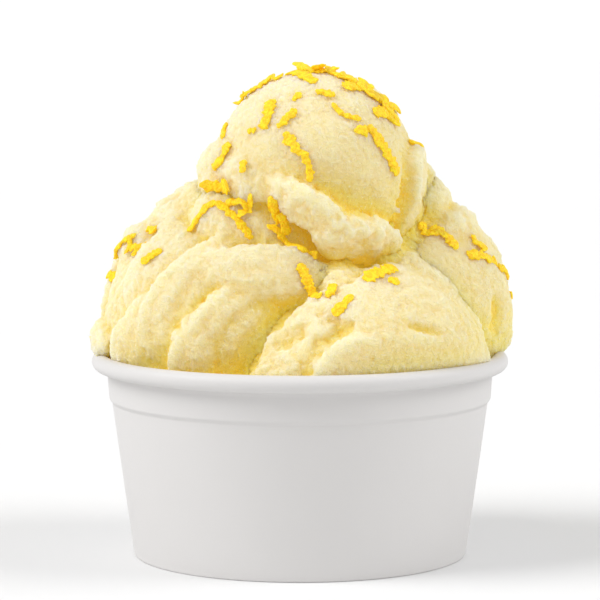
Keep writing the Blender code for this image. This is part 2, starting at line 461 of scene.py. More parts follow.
def wall_angles():
    """The turns at which the wall has points, with more at the seam's edge."""
    even = [2 * math.pi * i / WALL_SEGMENTS for i in range(WALL_SEGMENTS)]
    return sorted(even + [SEAM_ANGLE + 0.1 * SEAM_EDGE, SEAM_ANGLE + SEAM_EDGE])


def make_wall(settings, material):
    """Turn the wall's section about the axis, with a lapped seam and a little unevenness."""
    outer = outer_section(settings.bead / MM)
    section = outer + inner_section(settings.thickness / MM)
    lap = settings.lap / MM
    uneven = settings.unevenness / MM
    points = []
    angles = wall_angles()
    for angle in angles:
        wave = math.sin(2 * angle + 0.7) + 0.6 * math.sin(5 * angle + 2.1)
        for row, (radius, height) in enumerate(section):
            swell = uneven * wave * math.sin(math.pi * min(height / STEP_HEIGHT, 1))
            if row < len(outer) and 0 < height < CUP_HEIGHT - settings.bead / MM:
                swell += lap * seam_height(angle)
            reach = (radius + swell) * MM
            points.append((reach * math.cos(angle), reach * math.sin(angle), height * MM))
    faces = turned_faces(len(angles), len(section), closed=True)
    piece = add_piece("paper_wall", points, faces, material)
    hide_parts("cup_sidewall")


# --- Sculpting with distance fields ---

# A field holds each grid point's distance from the surface, below 0 inside it.

TINY = 1e-6
RIPPLE_WAVE = 3.2
EDGE_WIDTH = 1.8

Ball = namedtuple("Ball", "centre radius")

# An ellipsoid: centre, half-lengths, tilt about Y in degrees, how softly it joins what came
# before it, and how ragged it is.
Lump = namedtuple("Lump", "centre radii tilt blend rough", defaults=(0, 3.0, 0.35))

# Pads laid over a ball, at an azimuth (0 faces -Y, 90 faces +X), an elevation and a turn in
# their own plane, with half-lengths along and up. A swell is a bent ellipsoid of a given half
# thickness that rises to a height. A fold is a bent slab with rounded edges, whose top slopes
# by rise along and up, and so shows as a step. A groove is a bent ellipsoid cut out.
Swell = namedtuple("Swell", "ball azimuth elevation turn half height blend rough")
Fold = namedtuple(
    "Fold", "ball azimuth elevation turn half height rise blend rough ripple", defaults=(0,)
)
Groove = namedtuple("Groove", "ball azimuth elevation turn half height blend")


def turned_by(tilt, lean, turn):
    """The rotation that tilts about Y, leans about X and turns about Z, in degrees."""
    angles = [math.radians(angle) for angle in (lean, tilt, turn)]
    return np.array(Euler(angles, "YXZ").to_matrix(), np.float32)


def ellipsoid(points, radii):
    """About the distance to an ellipsoid round the origin."""
    radii = np.float32(radii)
    near = np.sqrt(((points / radii) ** 2).sum(-1))
    slope = np.sqrt(((points / radii**2) ** 2).sum(-1)) + TINY
    return near * (near - 1) / slope


def over_ball(points, pad):
    """Each point's place over a ball: along the pad, up the pad, and above the ball."""
    turn = turned_by(pad.turn, -pad.elevation, pad.azimuth)
    near = (points - np.float32(pad.ball.centre)) @ turn
    reach = np.sqrt((near * near).sum(-1)) + TINY
    along = pad.ball.radius * np.arctan2(near[..., 0], -near[..., 1])
    up = pad.ball.radius * np.arcsin(np.clip(near[..., 2] / reach, -1, 1))
    return along, up, reach - pad.ball.radius


def lump_distance(points, lump):
    """The distance to an ellipsoid."""
    return ellipsoid((points - np.float32(lump.centre)) @ turned_by(lump.tilt, 0, 0), lump.radii)


def swell_distance(points, pad):
    """The distance to an ellipsoid bent round a ball."""
    along, up, above = over_ball(points, pad)
    length, width, thickness = pad.half
    above = above - (pad.height - thickness)
    return ellipsoid(np.stack([along, above, up], -1), (length, thickness, width))


def fold_distance(points, pad, torn):
    """The distance to a bent slab with torn edges, and how near its edge each point is."""
    along, up, above = over_ball(points, pad)
    length, width, rounding = pad.half
    along = along / length
    up = up / width
    top = pad.height + pad.rise[0] * np.clip(along, -1.2, 1.2) + pad.rise[1] * np.clip(up, -1.2, 1.2)
    near = np.sqrt(along**2 + up**2)
    if pad.ripple:
        top = top + pad.ripple * np.sin(2 * math.pi / RIPPLE_WAVE * (1 - near) * min(length, width))
    slope = np.sqrt((along / length) ** 2 + (up / width) ** 2) + TINY
    side = near * (near - 1) / slope + rounding + torn
    over = above - top + rounding
    inside = np.minimum(np.maximum(side, over), 0)
    distance = inside + np.hypot(np.maximum(side, 0), np.maximum(over, 0)) - rounding
    return distance, np.exp(-(((side - rounding) / EDGE_WIDTH) ** 2))


DISTANCES = {Lump: lump_distance, Swell: swell_distance, Groove: swell_distance}


def smooth_min(first, second, blend):
    """The lower of two fields, rounded off where they meet."""
    overlap = np.maximum(blend - np.abs(first - second), 0) / blend
    return np.minimum(first, second) - overlap**2 * blend / 4


def smooth_max(first, second, blend):
    """The higher of two fields, rounded off where they meet."""
    return -smooth_min(-first, -second, blend)


def corners(inside):
    """A cell's corners, each with its share in the points that lie inside the cell."""
    for step in np.ndindex(2, 2, 2):
        parts = [inside[..., k] if step[k] else 1 - inside[..., k] for k in range(3)]
        yield step, np.prod(parts, 0)


class Noise:
    """Smooth noise of about -1 to 1, with lumps one unit apart."""

    SIZE = 32
    GAIN = 1.6

    def __init__(self, seed):
        slopes = np.random.default_rng(seed).normal(size=(self.SIZE,) * 3 + (3,))
        slopes /= np.linalg.norm(slopes, axis=-1, keepdims=True)
        self.slopes = slopes.astype(np.float32)

    def __call__(self, points):
        corner = np.floor(points).astype(np.int32)
        inside = (points - corner).astype(np.float32)
        weight = inside**3 * (inside * (inside * 6 - 15) + 10)
        total = 0
        for step, share in corners(weight):
            cell = tuple((corner[..., k] + step[k]) % self.SIZE for k in range(3))
            slope = self.slopes[cell]
            total = total + share * sum(slope[..., k] * (inside[..., k] - step[k]) for k in range(3))
        return total * self.GAIN


def double(field):
    """A field on a grid twice as fine."""
    for axis in range(3):
        field = np.moveaxis(field, axis, 0)
        finer = np.empty((2 * field.shape[0] - 1, *field.shape[1:]), np.float32)
        finer[::2] = field
        finer[1::2] = (field[:-1] + field[1:]) / 2
        field = np.moveaxis(finer, 0, axis)
    return field


def blur(field, spread):
    """A field blurred over a spread given in grid steps."""
    reach = int(3 * spread + 1)
    kernel = np.exp(-0.5 * (np.arange(-reach, reach + 1) / spread) ** 2)
    kernel /= kernel.sum()
    for axis in range(3):
        field = np.moveaxis(field, axis, 0)
        wide = np.concatenate([field[:1]] * reach + [field] + [field[-1:]] * reach)
        field = sum(np.float32(w) * wide[i : i + len(field)] for i, w in enumerate(kernel))
        field = np.moveaxis(field, 0, axis)
    return field


class Grid:
    """Evenly spaced points in a box, in millimetres."""

    def __init__(self, low, high, step):
        self.low = np.float32(low)
        self.step = step
        self.shape = tuple(int(n) for n in np.ceil((np.float32(high) - self.low) / step) + 1)

    def points(self):
        """Each grid point's place."""
        counts = [np.arange(count, dtype=np.float32) for count in self.shape]
        axes = [low + self.step * count for low, count in zip(self.low, counts)]
        return np.stack(np.meshgrid(*axes, indexing="ij"), -1)

    def part(self, low, high):
        """The slices of the grid that hold a smaller box."""
        first = np.floor((low - self.low) / self.step).astype(int)
        last = np.ceil((high - self.low) / self.step).astype(int) + 1
        return tuple(slice(max(f, 0), min(n, size)) for f, n, size in zip(first, last, self.shape))

    def swell(self, noise, wave, shift, doublings):
        """Noise of a long wave over the whole grid, worked out on a coarser one."""
        coarse = 2**doublings
        high = self.low + self.step * (np.array(self.shape) + coarse)
        field = noise(Grid(self.low, high, self.step * coarse).points() / wave + shift)
        for _ in range(doublings):
            field = double(field)
        return field[tuple(slice(n) for n in self.shape)]

    def read(self, field, points):
        """A field's values at points between the grid's own."""
        place = np.clip((points - self.low) / self.step, 0, np.array(self.shape) - 1.001)
        corner = place.astype(np.int32)
        inside = place - corner
        total = 0
        for step, share in corners(inside):
            total = total + share * field[tuple(corner[:, k] + step[k] for k in range(3))]
        return total


# --- The scoops ---

TOP = Ball((3, -2, 85.3), 22)
FRONT = Ball((11, -11.5, 36.4), 29)
LEFT = Ball((-19.5, -1.5, 52), 23)
RIGHT = Ball((21, 8, 52), 25.5)
BACK = Ball((-6, 21, 52), 25)
NECK = Ball((-10, -2, 54), 25)
HEAP = Ball((0, 0, 50), 36)

# Each scoop's shapes, in the order in which they join. A scoop is pressed in by those above it.
SCOOPS = {
    "top": (
        Lump((3, -2, 85.3), (21.8, 22, 21.8), rough=0.15),
        Lump((2, 0, 70), (20, 16, 8), rough=0.6),
        Swell(TOP, -78, -8, 0, (9, 9.5, 5), 4, 2.5, 0.9),
        Swell(TOP, -48, -6, -20, (6, 7, 3.5), 2, 1.5, 1),
        Groove(TOP, -48, -36, 30, (16, 9, 5), 2, 3),
        Fold(TOP, 82, -20, 0, (9, 14, 3), 3, (0, 0), 1.5, 0.6),
        Fold(TOP, 104, -24, 0, (9, 12, 3), 4.6, (0, 0), 1, 0.7),
        Swell(TOP, 60, -48, 0, (12, 7, 5), 4, 1.5, 0.7),
        Fold(TOP, 165, -22, -15, (14, 8, 2.8), 3.2, (0.6, 0.6), 0.8, 0.9),
        Swell(TOP, 215, -26, 10, (10, 7, 3.5), 2.8, 1.5, 1),
        Groove(TOP, 62, -16, 4, (1.8, 11, 3), 5, 1.5),
        Groove(TOP, 8, -7, 27, (17, 5.5, 4), 6.8, 2.5),
        Fold(TOP, -6, -17, 29, (9.6, 4.8, 2.6), 3.2, (2.4, 0.8), 1, 1),
        Fold(TOP, 29, -37, 14, (10, 5.6, 3), 5.6, (0.4, 0.5), 0.7, 1),
    ),
    "front": (
        Lump((10, -11.5, 36), (29, 27, 28.4), rough=0.35),
        Fold(FRONT, -7, 28, -45, (31, 14.2, 4), 1.6, (0, 0.3), 1, 1),
        Fold(FRONT, 41, 30, -24, (22, 20.4, 3.4), 3, (0.5, 0.5), 0.6, 0.15, 0.12),
        Swell(FRONT, -12, 66, 0, (7, 6, 3.5), 2.5, 1, 1),
        Swell(FRONT, 80, 62, 0, (5, 12, 4), 5.2, 0.8, 1),
        Fold(FRONT, 0, 4, 9, (9.5, 14, 3), 4.6, (0, 0.6), 0.7, 0.9),
        Swell(FRONT, -30, 10, 0, (8, 8, 3.5), 3, 0.8, 1),
        Groove(FRONT, 36, 33, 20, (4.5, 1, 1.8), 5, 1.2),
        Groove(FRONT, -32, 30, -30, (4, 2, 1.8), 3.6, 1.6),
        Groove(FRONT, -9, 31, -30, (5, 1.8, 1.8), 3.8, 1.6),
        Lump((7, -14, 21), (29, 27, 24), blend=5),
    ),
    "left": (
        Lump((-19.5, -1.5, 52), (23.2, 22, 22.5), rough=0.7),
        Lump((-8.5, -10, 69.5), (17, 11.5, 11), tilt=34, blend=2, rough=0.8),
        Fold(LEFT, 14, 28, -17, (26, 26, 3), 1, (-0.8, 0.8), 0.6, 0.3, 0.12),
        Fold(LEFT, 24, 16, -18, (25.5, 15, 2.8), 3.4, (-0.4, 1.8), 0.4, 0.4, 0.24),
        Fold(NECK, -3, 24, -3, (20, 6, 2.6), 3.4, (0.6, 1), 0.6, 0.4, 0.12),
        Fold(LEFT, -12, -20, -35, (18, 18, 2.8), 2.8, (-1.2, 1), 0.6, 0.4, 0.12),
        Fold(LEFT, 37, -9, -10, (21.8, 15.4, 3.2), 5.2, (-1.6, 1.4), 0.4, 0.4, 0.24),
        Swell(LEFT, -6, -14, 0, (4.8, 8.5, 3.2), 7.4, 1, 0.7),
        Fold(LEFT, -138, 8, 20, (15, 16, 3), 2.4, (0.6, 0.8), 0.6, 0.4, 0.12),
        Lump((-21.5, 0, 78), (5.5, 7.5, 4.5), blend=2.4, rough=1),
        Lump((-27, 1, 73.5), (6.5, 8.5, 5.5), blend=2.4, rough=1),
        Lump((-33.5, 2, 67), (6, 9.5, 6.5), blend=2.4, rough=0.9),
        Lump((-42.5, -1, 47.5), (3.8, 10, 4.6), blend=1.5, rough=0.7),
        Lump((-19, -4, 23), (27, 30, 27), blend=5),
        Lump((-12, -8, 30), (48, 48, 13.5), blend=3),
    ),
    "right": (
        Lump((21, 8, 52), (25.5, 25.5, 25.5), rough=0.2),
        Fold(RIGHT, 60, 18, -40, (26, 20, 3), 1.2, (0.4, 0.4), 0.6, 0.25, 0.12),
        Lump((28, 2, 78.5), (5.5, 8, 5.5), blend=1.5, rough=0.9),
        Lump((33, 3, 72.5), (6, 9, 5), blend=1.5, rough=0.9),
        Fold(RIGHT, 132, 12, 25, (16, 15, 3), 2.4, (-0.6, 0.8), 0.6, 0.3, 0.12),
        Swell(RIGHT, 84, -4, 0, (7, 9, 4), 2, 1, 0.7),
        Groove(RIGHT, 57, 3, 0, (1.6, 4, 2), 3.4, 2),
        Lump((19, 9, 23), (27, 28, 27), blend=5),
    ),
    "back": (
        Lump((-6, 21, 52), (26, 24, 25), rough=0.3),
        Fold(BACK, 160, 32, 20, (25, 20, 3), 1.4, (0.6, 0.6), 0.6, 0.3, 0.12),
        Fold(BACK, 195, 6, -25, (21, 17, 3), 1.4, (0.6, 0.6), 0.6, 0.4, 0.12),
        Swell(BACK, 150, -8, 0, (8, 9, 4), 1.2, 1, 0.9),
        Groove(BACK, 190, 34, 30, (5, 1.2, 1.8), 4, 1.4),
        Lump((-6, 19, 26), (30, 27, 28), blend=5),
        Lump((-4, 12, 30), (42, 42, 13.5), blend=3),
    ),
}

GRID_STEP = 0.9
GRID_MARGIN = 4.5
NEAR_SURFACE = 2.5
# How far long waves push the shapes about: (push, wave, doublings).
WARPS = ((0.7, 12.0, 2), (0.35, 4.5, 1))
SWELLS = (0.15, 5.0)
TEARS = (0.7, 2.6)
EDGE_ROUGHNESS = 0.9
RAG_WAVES = ((1.0, 2.6), (0.5, 1.4))
GRAIN_WAVES = ((0.5, 1.6), (1.0, 0.9))
PRESSED_OVERLAP = 0.35
# How a scoop's edge is rounded off where it is pressed in, and how it fills the crease: up to
# where this share of the room round a point is ice.
ROUND_OFF = {"top": 3.0, "front": 3.0, "left": 3.0, "right": 8.0, "back": 3.0}
CREASE_FILL = 0.59
CREASE_SLOPE = 4.0
FILL_REACH = 4.0
FAR = 9.0
# The cup's inside, which the lower scoops fill to just inside the paper.
BRIM = CUP_HEIGHT - 2
INSIDE_BRIM = RADIUS_UNDER_BEAD - 0.3
WALL_SLOPE = 0.141
BOTTOM = BOTTOM_TOP - 0.15
SQUEEZE_BLEND = 0.8
# How far a scoop swells out over the brim at the front and at the sides, and over what height.
FRONT_BULGE = 0.3
SIDE_BULGE = 4.6
BULGE_HEIGHT = 3.0
# How far round a place the ice is looked at for creases and for shade.
CREVICE_SPREAD = 1.6
DEEP_SPREAD = 4.0
# The grain sets in between these heights, as the paper holds the ice smooth below.
GRAIN_HEIGHTS = (39.0, 42.0)
# How far towards the light a place is looked at, to tell how much ice shades it.
LIGHT_LIFT = (-1.0, 0.0, 2.2)
# How much painted shade deepens the yellow towards the rim, from this height above it.
RIM_SHADE = 0.16
RIM_SHADE_HEIGHT = 18.0


class Sculpture:
    """The heap of scoops as fields on one grid."""

    def __init__(self, settings):
        reach = RIM_RADIUS + GRID_MARGIN
        low = (-reach, -reach, BOTTOM_TOP - GRID_MARGIN)
        high = (reach, reach, HEAP_TOP + GRID_MARGIN)
        self.grid = Grid(low, high, GRID_STEP)
        self.points = self.grid.points()
        self.ragged = settings.ragged / MM
        self.grain = settings.grain / MM
        self.rag, self.fine, self.ice = (Noise(seed) for seed in (31, 41, 51))
        self.push = sum(push * self.warp(wave, doublings) for push, wave, doublings in WARPS)
        self.swell = SWELLS[0] * self.grid.swell(self.rag, SWELLS[1], 9.0, 1)
        self.torn = TEARS[0] * self.grid.swell(self.fine, TEARS[1], 3.0, 1)
        self.fields = {}
        self.parts = {}
        self.roughness = {}

    def warp(self, wave, doublings):
        """A smooth push of each point in each direction, with a wave of its own."""
        swells = [
            self.grid.swell(Noise(11 + axis), wave, 7.3 * axis + wave, doublings) for axis in range(3)
        ]
        return np.stack(swells, -1)

    def span(self, shapes):
        """The box that holds a scoop's shapes."""
        ends = []
        for shape in shapes:
            if isinstance(shape, Lump):
                reach = np.abs(turned_by(shape.tilt, 0, 0) * shape.radii).sum(1)
                centre = shape.centre
            else:
                reach = shape.ball.radius + max(shape.height, 0) + 1
                centre = shape.ball.centre
            ends += [np.array(centre) - reach, np.array(centre) + reach]
        margin = NEAR_SURFACE + GRID_STEP
        return np.min(ends, 0) - margin, np.max(ends, 0) + margin

    def add(self, name, shapes, in_cup):
        """Join a scoop's shapes into one field."""
        part = self.grid.part(*self.span(shapes))
        points = self.points[part]
        pushed = points + self.push[part]
        field = lump_distance(pushed, shapes[0])
        rough = np.full(field.shape, shapes[0].rough, np.float32)
        for shape in shapes[1:]:
            rim = 0
            if isinstance(shape, Fold):
                distance, rim = fold_distance(pushed, shape, self.torn[part])
            else:
                distance = DISTANCES[type(shape)](pushed, shape)
            if isinstance(shape, Groove):
                field = smooth_max(field, -distance, shape.blend)
                continue
            share = np.clip(0.5 + 0.5 * (field - distance) / shape.blend, 0, 1)
            rough = rough * (1 - share) + np.maximum(shape.rough, EDGE_ROUGHNESS * rim) * share
            field = smooth_min(field, distance, shape.blend)
        field = field - self.swell[part]
        near = np.abs(field) < NEAR_SURFACE
        torn = sum(
            height * self.rag(points[near] / wave + 5 * k)
            for k, (height, wave) in enumerate(RAG_WAVES)
        )
        field[near] -= self.ragged * rough[near] * torn
        if in_cup:
            field = self.squeeze(field, points)
        self.fields[name] = field.astype(np.float32)
        self.parts[name] = part
        self.roughness[name] = rough

    def squeeze(self, field, points):
        """Hold a scoop inside the cup, and let it swell over the rim but at the front."""
        x, y, z = (points[..., k] for k in range(3))
        reach = np.hypot(x, y)
        side = np.where(y > 0, 1, np.abs(x) / np.maximum(reach, TINY))
        risen = np.clip((z - BRIM) / BULGE_HEIGHT, 0, 1) ** 0.7
        bulge = (FRONT_BULGE + SIDE_BULGE * side**3) * risen
        limit = INSIDE_BRIM + np.where(z < BRIM, (z - BRIM) * WALL_SLOPE, bulge)
        field = smooth_max(field, reach - limit, SQUEEZE_BLEND)
        return np.maximum(field, BOTTOM - z)

    def press(self):
        """Press each scoop in by those before it, and note how shut in each place is."""
        whole = np.full(self.grid.shape, FAR, np.float32)
        for name, part in self.parts.items():
            whole[part] = np.minimum(whole[part], self.fields[name])
        creases = CREASE_SLOPE * (CREASE_FILL - self.filling(whole, CREVICE_SPREAD))
        whole[:] = FAR
        for name, part in self.parts.items():
            before = whole[part].copy()
            cut = -(before + PRESSED_OVERLAP)
            rounded = smooth_max(self.fields[name], cut, ROUND_OFF[name])
            near = np.maximum(before, self.fields[name]) - FILL_REACH
            fill = np.maximum(np.maximum(creases[part], near), cut)
            self.fields[name] = smooth_min(rounded, fill, SQUEEZE_BLEND)
            whole[part] = np.minimum(before, self.fields[name])
        self.crevice = self.filling(whole, CREVICE_SPREAD)
        self.deep = self.filling(whole, DEEP_SPREAD)

    def filling(self, field, spread):
        """The share of the room round each point that a field fills."""
        return blur(np.clip(0.5 - field / GRID_STEP, 0, 1), spread / GRID_STEP)

    def surface(self, name):
        """A scoop's points and faces, in millimetres."""
        part = self.parts[name]
        low = self.grid.low + GRID_STEP * np.array([s.start for s in part])
        volume = openvdb.FloatGrid(2 * NEAR_SURFACE)
        volume.copyFromArray(np.ascontiguousarray(double(self.fields[name])))
        points, faces = volume.convertToQuads(0.0)
        return np.asarray(points, np.float32) * (GRID_STEP / 2) + low, np.asarray(faces), low

    def make(self, name, material):
        """Mesh a scoop and raise its grain."""
        points, faces, low = self.surface(name)
        piece = add_piece("sorbet_" + name, points * MM, faces, material)
        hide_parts("scoop_" + name)
        mesh = piece.data
        normals = np.empty(len(points) * 3, np.float32)
        mesh.vertex_normals.foreach_get("vector", normals)
        own = Grid(low, low, GRID_STEP)
        own.shape = self.fields[name].shape
        rough = own.read(self.roughness[name], points)
        (fine, fine_wave), (ice, ice_wave) = GRAIN_WAVES
        rise = fine * (0.5 + rough) * self.fine(points / fine_wave)
        rise = self.grain * (rise + ice * self.ice(points / ice_wave))
        rise *= np.interp(points[:, 2], GRAIN_HEIGHTS, (0, 1))
        raised = points + normals.reshape(-1, 3) * rise[:, None]
        mesh.vertices.foreach_set("co", (raised * MM).astype(np.float32).ravel())
        # What the finish paints light and shade from: how shut in each place is, how much ice lies
        # towards the light, more shade towards the rim, and the grain's height.
        shut = self.grid.read(self.deep, points + np.float32(LIGHT_LIFT))
        near_rim = np.clip(1 - (points[:, 2] - CUP_HEIGHT) / RIM_SHADE_HEIGHT, 0, 1)
        stored = {
            "crevice": 2 * self.grid.read(self.crevice, points) - 1,
            "shade": 2 * shut + RIM_SHADE * near_rim - 1,
            "grain": rise / max(self.grain, TINY),
        }
        for key, values in stored.items():
            layer = mesh.attributes.new(key, "FLOAT", "POINT")
            layer.data.foreach_set("value", values.astype(np.float32))
        mesh.update()


# --- The zest ---

# A strip of zest lies over a ball: the azimuth and elevation of its middle, the way it points
# (0 to the right, 90 up), its length, how far it bends in all, its width, and how far its ends
# stand up from the sorbet.
Strip = namedtuple("Strip", "ball azimuth elevation heading length bend width curl", defaults=(0,))

# The front's strips by the ball that they lie over, each as a Strip without its ball.
STRIPS = {
    TOP: (
        (-20, 84, -30, 8, -20, 2.2, 2.2), (-24, 72, -40, 12, 20, 2.2), (44, 71, -95, 8, 0, 1.6, 1),
        (20, 80, -20, 8, 30, 2, 1.2), (48, 57, 10, 9, 10, 2.2, 0.6), (56, 60, -55, 8, 20, 2, 0.8),
        (62, 50, -50, 8, 0, 2.2, 0.6), (66, 48, -15, 8, -20, 1.8, 0.4),
        (72, 43, -35, 11, 20, 2.3, 0.6), (60, 36, -10, 8, -20, 2), (70, 36, -65, 6, 15, 2, 0.4),
        (66, 30, -60, 4, 0, 1.4, 0.5), (-82, 44, 60, 4, 0, 1.4, 1.2),
        (-78, 56, 80, 9, 20, 2.4, 0.8), (-60, 66, 40, 3, 0, 1.4, 0.6), (-34, 36, -85, 8, -40, 1.8),
        (-42, 25, 15, 2.5, 0, 1.3), (-19, 33, -125, 6, 10, 1.4), (-15, 49, -125, 2.8, 0, 1.3),
        (10, 51, -25, 4.5, 0, 1.4), (21, 35, -35, 8, 90, 1), (31, 25, 0, 4, 0, 1.5),
        (45, 13, -60, 13.5, 15, 1.8), (-13, 18, -50, 6.5, 0, 1.8), (-3, 5, -75, 7.5, -50, 1.3),
        (-74, 23, -35, 5.5, 20, 1.3), (-61, 9, -100, 6.5, -40, 1.8), (-42, 4, -80, 2.8, 0, 1.4),
        (-56, -7, 0, 8, 50, 2, 2.4), (80, 14, -80, 2.5, 0, 1.1),
    ),
    HEAP: (
        (-36, 52, 0, 5.5, 0, 1.4), (-31, 51, -125, 5, 0, 1.7), (-12, 51, -40, 5, 0, 1.8),
        (5, 40, -45, 5, 0, 1.8), (4, 25, -65, 11, 0, 1.7),
    ),
    LEFT: (
        (-8, 60, 20, 6, 0, 1.4), (17, 52, -60, 9.5, 0, 1.6), (41, 37, -70, 8, -60, 1.5),
        (-72, 57, 10, 4, 0, 1.7, 0.3), (-77, 42, -60, 4, 0, 1.4, 0.8),
        (-66, 44, 60, 4.5, 0, 1.3, 0.3), (-39, 38, 55, 5, 0, 1.5),
    ),
    FRONT: (
        (-14, 53, -105, 4, 0, 1.4), (-5, 44, -130, 5.5, 0, 1.6), (22, 61, 25, 8.5, 0, 2.2),
        (29, 55, -60, 2.5, 0, 1.7),
    ),
    RIGHT: (
        (22, 51, -80, 4, 0, 1.6), (35, 45, -60, 7.5, 0, 1.9), (30, 48, -20, 4.5, 0, 1.7),
        (60, 39, -55, 5, 0, 1.6, 0.4),
    ),
}

# The strewn strips' balls, and the spans of their azimuth past the ball's middle and the rest.
STREWN_OVER = (TOP, TOP, BACK, RIGHT, LEFT)
STREWN_SPANS = ((-60, 60), (5, 62), (0, 180), (4, 12), (-50, 50), (1.1, 1.6))
RAY_START = 12
STRIP_STEP = 0.36
STRIP_SIDES = 8
TAPER_LENGTH = 1.0
# How deep a strip may sink into a bump, and how high its middle stands, as a share of its
# thickness. Then its half width as a share of its width, as its torn edges are thin.
SINK = 0.2
STAND = 0.3
HALF_WIDTH = 0.72
# How much a strip's width, thickness and skin vary, and how far it wanders sideways.
WIDTHS = (0.6, 1.35)
THICKNESSES = (0.8, 1.2)
BUMPS = (0.45, 1.55)
WANDER = (-0.12, 0.12)


def strewn_strips(count):
    """Strips strewn over the back and the sides."""
    rng = np.random.default_rng(77)
    strips = []
    for index in range(count):
        ball = STREWN_OVER[index % len(STREWN_OVER)]
        middle = {RIGHT: 110, LEFT: -110}.get(ball, 180)
        azimuth, *others = (rng.uniform(*span) for span in STREWN_SPANS)
        strips.append(Strip(ball, middle + azimuth, *others))
    return strips


def strip_path(strip, heap):
    """Points along a strip, laid on the heap, with the ball's outward way at each."""
    azimuth = math.radians(strip.azimuth)
    elevation = math.radians(strip.elevation)
    right = Vector((math.cos(azimuth), math.sin(azimuth), 0))
    ahead = Vector((math.sin(azimuth), -math.cos(azimuth), 0)) * math.cos(elevation)
    ahead.z = math.sin(elevation)
    up = ahead.cross(right)
    centre = Vector(strip.ball.centre)
    steps = round(strip.length / STRIP_STEP)
    step = strip.length / steps
    turn = math.radians(strip.bend) / steps
    heading = math.radians(strip.heading) - math.radians(strip.bend) / 2
    flat = [(0.0, 0.0)]
    for _ in range(steps):
        x, y = flat[-1]
        flat.append((x + step * math.cos(heading), y + step * math.sin(heading)))
        heading += turn
    middle = flat[len(flat) // 2]
    ways = []
    reach = []
    for x, y in flat:
        way = ahead * strip.ball.radius + right * (x - middle[0]) + up * (y - middle[1])
        way.normalize()
        hit = heap.ray_cast((centre + way * (strip.ball.radius + RAY_START)) * MM, -way)[0]
        if hit is None:
            raise RuntimeError("a strip of zest misses the sorbet")
        ways.append(way)
        reach.append((Vector(hit) / MM - centre).length)
    kernel = np.array([1, 2, 3, 2, 1]) / 9
    eased = np.convolve(np.pad(reach, 2, mode="edge"), kernel, mode="valid")
    eased = np.maximum(eased, np.array(reach) - SINK)
    return [centre + way * float(r) for way, r in zip(ways, eased)], ways


def boxy(value):
    """A sine or cosine drawn out, for a section between round and square."""
    return math.copysign(abs(value) ** 0.7, value)


def strip_rings(strip, heap, thickness, rng):
    """Rings of points round a strip, with torn edges and thin ends."""
    places, ways = strip_path(strip, heap)
    steps = len(places) - 1
    points = []
    for index, (place, way) in enumerate(zip(places, ways)):
        along = (places[min(index + 1, steps)] - places[max(index - 1, 0)]).normalized()
        across = along.cross(way).normalized()
        out = across.cross(along).normalized()
        share = index / steps
        from_end = min(share, 1 - share) * strip.length
        taper = min(1, from_end / TAPER_LENGTH + 0.2) ** 0.6
        half_width = strip.width * HALF_WIDTH * taper * rng.uniform(*WIDTHS)
        half_height = thickness / 2 * taper * rng.uniform(*THICKNESSES)
        curl = strip.curl * (2 * share - 1) ** 2
        middle = place + out * (thickness * STAND + curl) + across * rng.uniform(*WANDER)
        for side in range(STRIP_SIDES):
            angle = 2 * math.pi * (side + 0.5) / STRIP_SIDES
            bump = rng.uniform(*BUMPS)
            point = middle + across * (boxy(math.cos(angle)) * half_width * bump)
            point = point + out * (boxy(math.sin(angle)) * half_height * bump)
            points.append(tuple(point * MM))
    return points


def strip_faces(first, last):
    """The faces round a strip and at its ends, by its end rings' first points."""
    sides = range(STRIP_SIDES)
    faces = [[first + side for side in sides], [last + side for side in reversed(sides)]]
    for ring in range(first, last, STRIP_SIDES):
        for side in sides:
            a = ring + side
            b = ring + (side + 1) % STRIP_SIDES
            faces.append((a, a + STRIP_SIDES, b + STRIP_SIDES, b))
    return faces


def make_zest(settings, heap, material):
    """All the strips of zest as one joined mesh."""
    rng = np.random.default_rng(5)
    strips = [Strip(ball, *row) for ball, rows in STRIPS.items() for row in rows]
    points = []
    faces = []
    for strip in strips + strewn_strips(settings.scattered):
        first = len(points)
        points += strip_rings(strip, heap, settings.thickness / MM, rng)
        faces += strip_faces(first, len(points) - STRIP_SIDES)
    piece = add_piece("lemon_zest", points, faces, material)
    piece.modifiers.new("Rounding", "SUBSURF").render_levels = 1


def heap_tree():
    """The heap of sorbet as one tree to cast rays at."""
    points = []
    faces = []
    for name in SCOOPS:
        piece = bpy.data.objects.get("sorbet_" + name)
        if not piece:
            raise RuntimeError("the scoops come before the zest")
        base = len(points)
        points.extend(vertex.co[:] for vertex in piece.data.vertices)
        faces.extend(tuple(base + i for i in face.vertices) for face in piece.data.polygons)
    return BVHTree.FromPolygons(points, faces)


# --- The stage ---

FLOOR_REACH = 5.6
SWEEP_RADIUS = 1.4
SWEEP_STEPS = 12
FLOOR_SIDES = 72
# The way each lamp's light goes.
LAMPS = {"key": (0.8, 0.25, -0.8), "fill": (-0.8, 0.1, -0.65)}
LAMP_SOFTNESS = math.radians(35)


def make_floor(settings):
    """A wide plain floor under the cup, whose far edge sweeps up all round as a backdrop."""
    sweep = arc((FLOOR_REACH, SWEEP_RADIUS), SWEEP_RADIUS, -math.pi / 2, 0, SWEEP_STEPS)
    angles = [2 * math.pi * side / FLOOR_SIDES for side in range(FLOOR_SIDES)]
    points = [(r * math.cos(a), r * math.sin(a), h) for a in angles for r, h in sweep]
    faces = turned_faces(FLOOR_SIDES, len(sweep), closed=False)
    faces.append([side * len(sweep) for side in range(FLOOR_SIDES)])
    mesh = bpy.data.meshes.new("floor")
    mesh.from_pydata(points, [], faces)
    mesh.shade_smooth()
    mesh.polygons[-1].use_smooth = False
    mesh.materials.append(floor_finish(settings))
    floor = put("floor", mesh)


